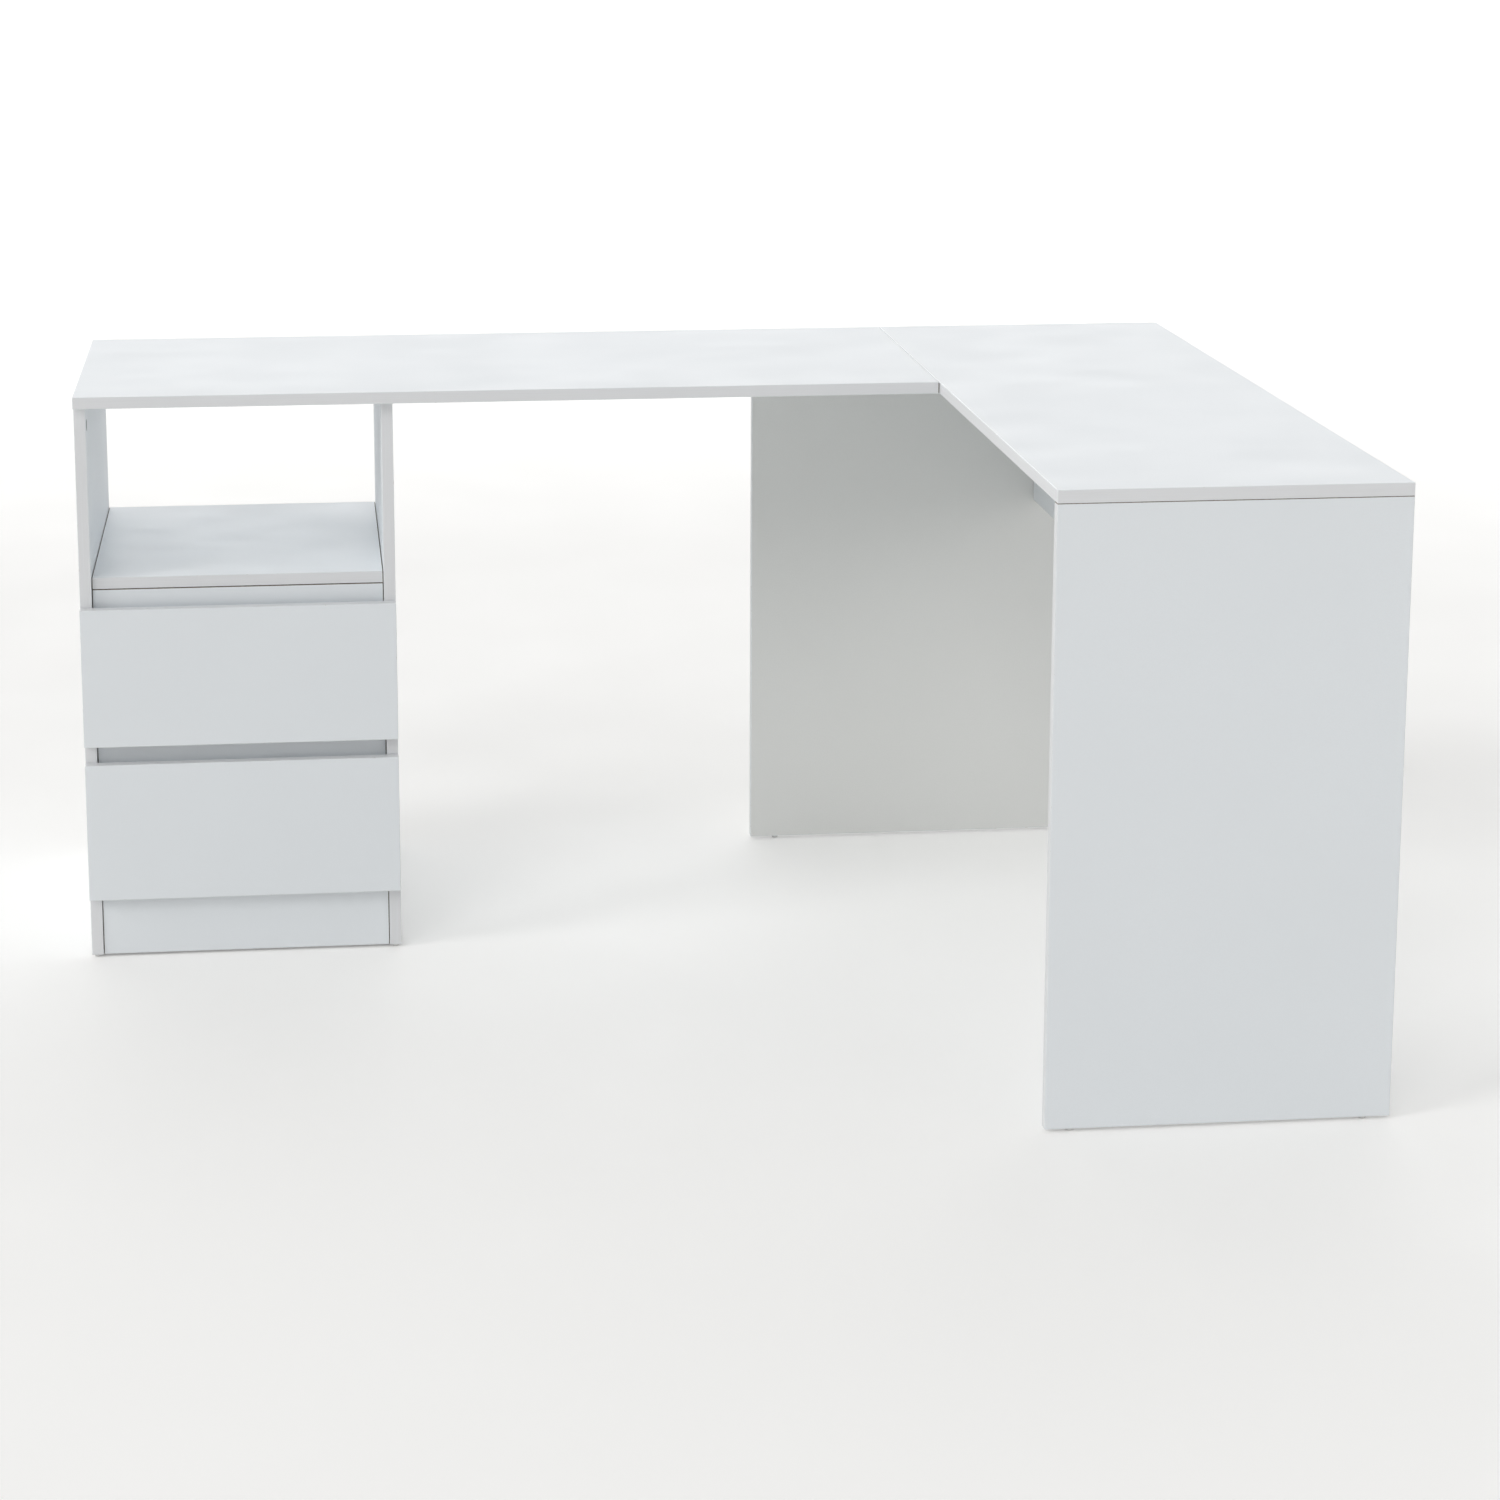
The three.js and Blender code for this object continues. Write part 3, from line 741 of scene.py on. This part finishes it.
def screw_mesh(flat):
    """A cross-headed screw along -Z from its head's seat at z = 0: flat-headed or pan-headed."""
    shank = 1.75 * MM
    point = 0.4 * MM
    if flat:
        top = 1.35 * MM
        head = [(3.4 * MM, 1.3 * MM), (3.5 * MM, 1.2 * MM), (2.0 * MM, 0)]
    else:
        top = 1.9 * MM
        head = [
            (1.8 * MM, 1.75 * MM),
            (2.9 * MM, 1.35 * MM),
            (3.4 * MM, 0.7 * MM),
            (3.5 * MM, 0),
            (shank, 0),
        ]
    outline = [(0, top), *head, (shank, -7 * MM), (point, -9 * MM), (0, -9 * MM)]
    screw = link("screw", lathe(outline, 28), [PLATED])
    for arm in cross_cutter(3.6 * MM, 0.8 * MM, 1.2 * MM, 0.45):
        moved(arm, Matrix.Translation((0, 0, top)))
        cut(screw, arm, PLATED)
    mesh = screw.data
    bpy.data.objects.remove(screw)
    return mesh


FLAT_SCREW = screw_mesh(True)
PAN_SCREW = screw_mesh(False)


def screws(name, body, template, places, towards):
    """Copies of a screw at the places, with their heads facing that way, as one piece."""
    whole = bmesh.new()
    for i, place in enumerate(places):
        copy = template.copy()
        copy.transform(turned(place, towards) @ Matrix.Rotation(0.7 * i + 0.3, 4, "Z"))
        whole.from_mesh(copy)
        bpy.data.meshes.remove(copy)
    piece = smooth(link(name, whole, [PLATED]), 35)
    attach(piece, body)


def drill(radius, below, above, steps, place):
    """The cutter for a round hole along Z, from that far below the place to that far above it."""
    outline = [(0, -below), (radius, -below), (radius, above), (0, above)]
    return moved(lathe(outline, steps), Matrix.Translation(place))


def seam_plates():
    """Round-cornered plates under the seam, each with four screws from below."""
    for node in ("seam_plate_front", "seam_plate_rear"):
        low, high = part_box(node)
        corners = [(low.x, low.y), (high.x, low.y), (high.x, high.y), (low.x, high.y)]
        outline = rounded([(x, y, PLATE_CORNER) for x, y in corners], 6)
        plate = link(f"{node}_detail", prism(outline, lambda x, y, z: (x, y, z), low.z, high.z), [PLATED])
        edges = plate.modifiers.new("edges", "BEVEL")
        edges.width = PLATE_ARRIS
        edges.segments = 2
        edges.limit_method = "ANGLE"
        edges.angle_limit = math.radians(60)
        settle(plate)
        middle = (low + high) / 2
        holes = [Vector((middle.x + x * MM, middle.y, low.z)) for x in PLATE_HOLES]
        bores = [drill(2.5 * MM, 1 * MM, 4 * MM, 28, hole) for hole in holes]
        cut(plate, merge(bores), PLATED)
        stands_for(smooth(plate), node)
        screws(f"{node}_screws", "frame", PAN_SCREW, holes, (0, 0, -1))


# Runners and rollers. In a runner's section, u runs from the carcass towards the drawer and v up.


def hole_cutter(centre, towards, radius, length=0.0):
    """A round hole, or a slot along Y where length isn't 0, through the steel at the centre."""
    points = []
    for i in range(HOLE_STEPS):
        angle = 2 * math.pi * i / HOLE_STEPS
        end = length / 2 if math.cos(angle) >= 0 else -length / 2
        points.append((radius * math.cos(angle) + end, radius * math.sin(angle)))
    way = Vector(towards)
    along = Vector((0, 1, 0))
    across = way.cross(along)

    def place(x, y, depth):
        return Vector(centre) + along * x + across * y + way * depth

    return prism(points, place, -HOLE_REACH, HOLE_REACH)


def countersink(centre, towards, inner, outer, depth):
    """The cutter for a screw's countersunk hole, whose wide end is at the centre."""
    outline = [(0, -3 * depth), (inner, -3 * depth), (inner, -depth), (outer, 0), (outer, depth), (0, depth)]
    return moved(lathe(outline, 28), turned(centre, towards))


def carcass_runner(node, inward):
    """The channel on the carcass side: a rolled C with a window over the roller and punched holes."""
    low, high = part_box(node)
    face = low.x if inward > 0 else high.x
    height = high.z - low.z
    corners = [
        (0, 0, OUTER_BEND),
        (CHANNEL_WIDTH, 0, CUT_EDGE),
        (CHANNEL_WIDTH, STEEL, CUT_EDGE),
        (STEEL, STEEL, INNER_BEND),
        (STEEL, height - STEEL, INNER_BEND),
        (CHANNEL_WIDTH, height - STEEL, CUT_EDGE),
        (CHANNEL_WIDTH, height, CUT_EDGE),
        (0, height, OUTER_BEND),
    ]

    def place(u, v, y):
        return Vector((face + inward * u, y, low.z + v))

    def on_web(spots):
        return [place(STEEL, height / 2, low.y + spot * MM) for spot in spots]

    bar = link(f"{node}_detail", prism(rounded(corners), place, low.y, high.y), [EPOXY])
    way = Vector((inward, 0, 0))
    sink = 1.2 * MM
    cutters = [countersink(spot, way, 2.1 * MM, 3.6 * MM, sink) for spot in on_web(CHANNEL_SCREWS)]
    cutters += [hole_cutter(spot, way, 2.3 * MM) for spot in on_web(CHANNEL_HOLES)]
    cutters += [hole_cutter(spot, way, 2.3 * MM, 8 * MM) for spot in on_web(CHANNEL_SLOTS)]
    cut(bar, merge(cutters), PLATED)
    window_low = place(STEEL, height - 2 * STEEL, low.y - STEEL)
    window_high = place(CHANNEL_WIDTH + STEEL, height + STEEL, low.y + WINDOW)
    window_low.x, window_high.x = sorted((window_low.x, window_high.x))
    cut(bar, box_mesh(window_low, window_high), EPOXY)
    stands_for(smooth(bar, 30), node)
    seats = [spot - way * sink for spot in on_web(CHANNEL_SCREWS)]
    screws(f"{node}_screws", "frame", FLAT_SCREW, seats, way)


def drawer_runner(node, inward, drawer):
    """The member under the drawer side, whose upper flange rides on the front roller."""
    low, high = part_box(node)
    height = high.z - low.z
    face = (low.x if inward > 0 else high.x) - inward * FLANGE_START
    under_side = RUNNER_SPACE + DRAWER_SIDE
    corners = [
        (FLANGE_START, height - STEEL, CUT_EDGE),
        (RUNNER_SPACE - STEEL, height - STEEL, INNER_BEND),
        (RUNNER_SPACE - STEEL, 0, OUTER_BEND),
        (under_side, 0, CUT_EDGE),
        (under_side, STEEL, CUT_EDGE),
        (RUNNER_SPACE, STEEL, INNER_BEND),
        (RUNNER_SPACE, height, OUTER_BEND),
        (FLANGE_START, height, CUT_EDGE),
    ]

    def place(u, v, y):
        return Vector((face + inward * u, y, low.z + v))

    bar = link(f"{node}_detail", prism(rounded(corners), place, low.y, high.y), [EPOXY])
    way = Vector((inward, 0, 0))
    down = (0, 0, -1)
    middle = RUNNER_SPACE + DRAWER_SIDE / 2 + 1 * MM
    seats = [place(middle, 0, low.y + spot * MM) for spot in FLANGE_SCREWS]
    slots = [place(RUNNER_SPACE - STEEL, height / 2, low.y + spot * MM) for spot in WEB_SLOTS]
    cutters = [hole_cutter(spot, (0, 0, 1), 2.2 * MM) for spot in seats]
    cutters += [hole_cutter(spot, way, 2.2 * MM, 6 * MM) for spot in slots]
    cut(bar, merge(cutters), PLATED)
    stands_for(smooth(bar, 30), node)
    screws(f"{node}_screws", drawer, PAN_SCREW, seats, down)


def roller(node):
    """A moulded roller: a crowned tread, a hub and a sunk web with five holes."""
    low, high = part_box(node)
    radius = (high.z - low.z) / 2
    half = (high.x - low.x) / 2
    bore = 2.3 * MM
    hub = 3.3 * MM
    rim = radius - 1.3 * MM
    sunk = 1.0 * MM
    bevel = 0.4 * MM
    side = [
        (bore, half - 0.2 * MM),
        (bore + 0.2 * MM, half),
        (hub, half),
        (hub + 0.2 * MM, half - sunk),
        (rim - 0.2 * MM, half - sunk),
        (rim, half - 0.2 * MM),
        (rim + 0.2 * MM, half - 0.1 * MM),
        (radius - bevel, half - 0.1 * MM),
        (radius - 0.05 * MM, half - bevel),
        (radius, half / 3),
    ]
    outline = side + [(r, -h) for r, h in reversed(side)]
    wheel = link(f"{node}_detail", hollow_lathe(outline), [NYLON])
    ring = (hub + rim) / 2
    for i in range(5):
        angle = 2 * math.pi * (i + 0.13) / 5
        spot = (ring * math.cos(angle), ring * math.sin(angle), 0)
        cut(wheel, drill(0.6 * MM, 4 * MM, 4 * MM, 16, spot), NYLON)
    wheel.data.transform(turned((low + high) / 2, (1, 0, 0)))
    stands_for(smooth(wheel, 35), node)


def roller_pin(name, body, roller_node, towards):
    """The riveted pin that a roller turns on, from the steel that holds it and out past the roller."""
    low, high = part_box(roller_node)
    tip = (high.x - low.x) / 2 + PIN_OVERHANG
    outline = [
        (0, -PIN_REACH),
        (PIN_RADIUS, -PIN_REACH),
        (PIN_RADIUS, tip - PIN_HEAD),
        (1.5 * PIN_RADIUS, tip - PIN_HEAD),
        (1.5 * PIN_RADIUS, tip - 0.6 * PIN_HEAD),
        (1.1 * PIN_RADIUS, tip - 0.1 * PIN_HEAD),
        (0, tip),
    ]
    bm = moved(lathe(outline, 32), turned((low + high) / 2, towards))
    piece = smooth(link(name, bm, [PLATED]))
    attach(piece, body)


def runners():
    for drawer in DRAWERS:
        for hand, inward in (("left", 1), ("right", -1)):
            name = f"{drawer}_{hand}"
            carcass_runner(f"{name}_carcass_runner", inward)
            drawer_runner(f"{name}_drawer_runner", inward, drawer)
            roller(f"{name}_front_roller")
            roller(f"{name}_rear_roller")
            roller_pin(f"{name}_front_pin", "frame", f"{name}_front_roller", (inward, 0, 0))
            roller_pin(f"{name}_rear_pin", drawer, f"{name}_rear_roller", (-inward, 0, 0))


# The studio


def camera():
    made = bpy.data.objects.new("camera", bpy.data.cameras.new("camera"))
    bpy.context.scene.collection.objects.link(made)
    made.location = CAMERA_PLACE
    made.rotation_euler = (math.radians(90 + CAMERA_PITCH), 0, math.radians(-CAMERA_YAW))
    made.data.lens = CAMERA_LENS
    made.data.shift_x, made.data.shift_y = CAMERA_SHIFT
    bpy.context.scene.camera = made


def light():
    """The lamps, and a world that is the studio: even light and a few large soft panels."""
    for name, towards, strength, spread in LAMPS:
        lamp = bpy.data.objects.new(name, bpy.data.lights.new(name, "SUN"))
        bpy.context.scene.collection.objects.link(lamp)
        lamp.data.energy = strength
        lamp.data.angle = math.radians(spread)
        lamp.rotation_euler = Vector(towards).to_track_quat("Z", "Y").to_euler()
    world = bpy.data.worlds.new("studio")
    bpy.context.scene.world = world
    world.use_nodes = True
    nodes, links = world.node_tree.nodes, world.node_tree.links
    nodes.clear()

    def maths(operation, one, two):
        node = nodes.new("ShaderNodeMath")
        node.operation = operation
        links.new(one, node.inputs[0])
        if isinstance(two, bpy.types.NodeSocket):
            links.new(two, node.inputs[1])
        else:
            node.inputs[1].default_value = two
        return node.outputs["Value"]

    def background(strength):
        node = nodes.new("ShaderNodeBackground")
        node.inputs["Color"].default_value = (1, 1, 1, 1)
        node.inputs["Strength"].default_value = strength
        return node

    way = nodes.new("ShaderNodeTexCoord").outputs["Generated"]
    total = EVEN_LIGHT
    for towards, radiance, narrowness in PANELS:
        facing = nodes.new("ShaderNodeVectorMath")
        facing.operation = "DOT_PRODUCT"
        facing.inputs[1].default_value = Vector(towards).normalized()
        links.new(way, facing.inputs[0])
        lobe = maths("POWER", maths("MAXIMUM", facing.outputs["Value"], 0), narrowness)
        lobe = maths("MULTIPLY", lobe, radiance)
        total = maths("ADD", lobe, total)
    studio = background(EVEN_LIGHT)
    links.new(total, studio.inputs["Strength"])
    backdrop = background(BACKDROP_LIGHT)
    path = nodes.new("ShaderNodeLightPath")
    mixer = nodes.new("ShaderNodeMixShader")
    links.new(path.outputs["Is Camera Ray"], mixer.inputs["Fac"])
    links.new(studio.outputs["Background"], mixer.inputs[1])
    links.new(backdrop.outputs["Background"], mixer.inputs[2])
    out = nodes.new("ShaderNodeOutputWorld")
    links.new(mixer.outputs["Shader"], out.inputs["Surface"])
    bpy.context.scene.view_settings.view_transform = "Standard"


def floor():
    """A white floor that takes the desk's shadows and fades into the backdrop far away."""
    look = Surface("studio_floor", 0.7)
    cloud = look.range(look.noise(0.8, 3), 0, 1)
    look.colour(look.mix(cloud, (0.93, 0.923, 0.905), (0.945, 0.938, 0.92)))
    look.roughness(look.range(look.noise(0.2, 2), 0.62, 0.78))
    distance = look.node("ShaderNodeVectorMath", operation="LENGTH")
    look.join(look.place, distance.inputs[0])
    glow = look.node("ShaderNodeMath", operation="MULTIPLY")
    look.join(look.range(distance.outputs["Value"], *FLOOR_GLOW, *FLOOR_FADE), glow.inputs[0])
    look.join(look.node("ShaderNodeLightPath").outputs["Is Camera Ray"], glow.inputs[1])
    look.shader.inputs["Emission Color"].default_value = (1, 1, 1, 1)
    look.join(glow.outputs["Value"], look.shader.inputs["Emission Strength"])
    bm = bmesh.new()
    bmesh.ops.create_grid(bm, x_segments=8, y_segments=8, size=FLOOR_SIZE / 2)
    moved(bm, Matrix.Translation((0, 0, -FLOOR_DROP)))
    link("studio_floor", bm, [look.material])


camera()
light()
floor()
boards()
cam_locks()
glides()
seam_plates()
runners()
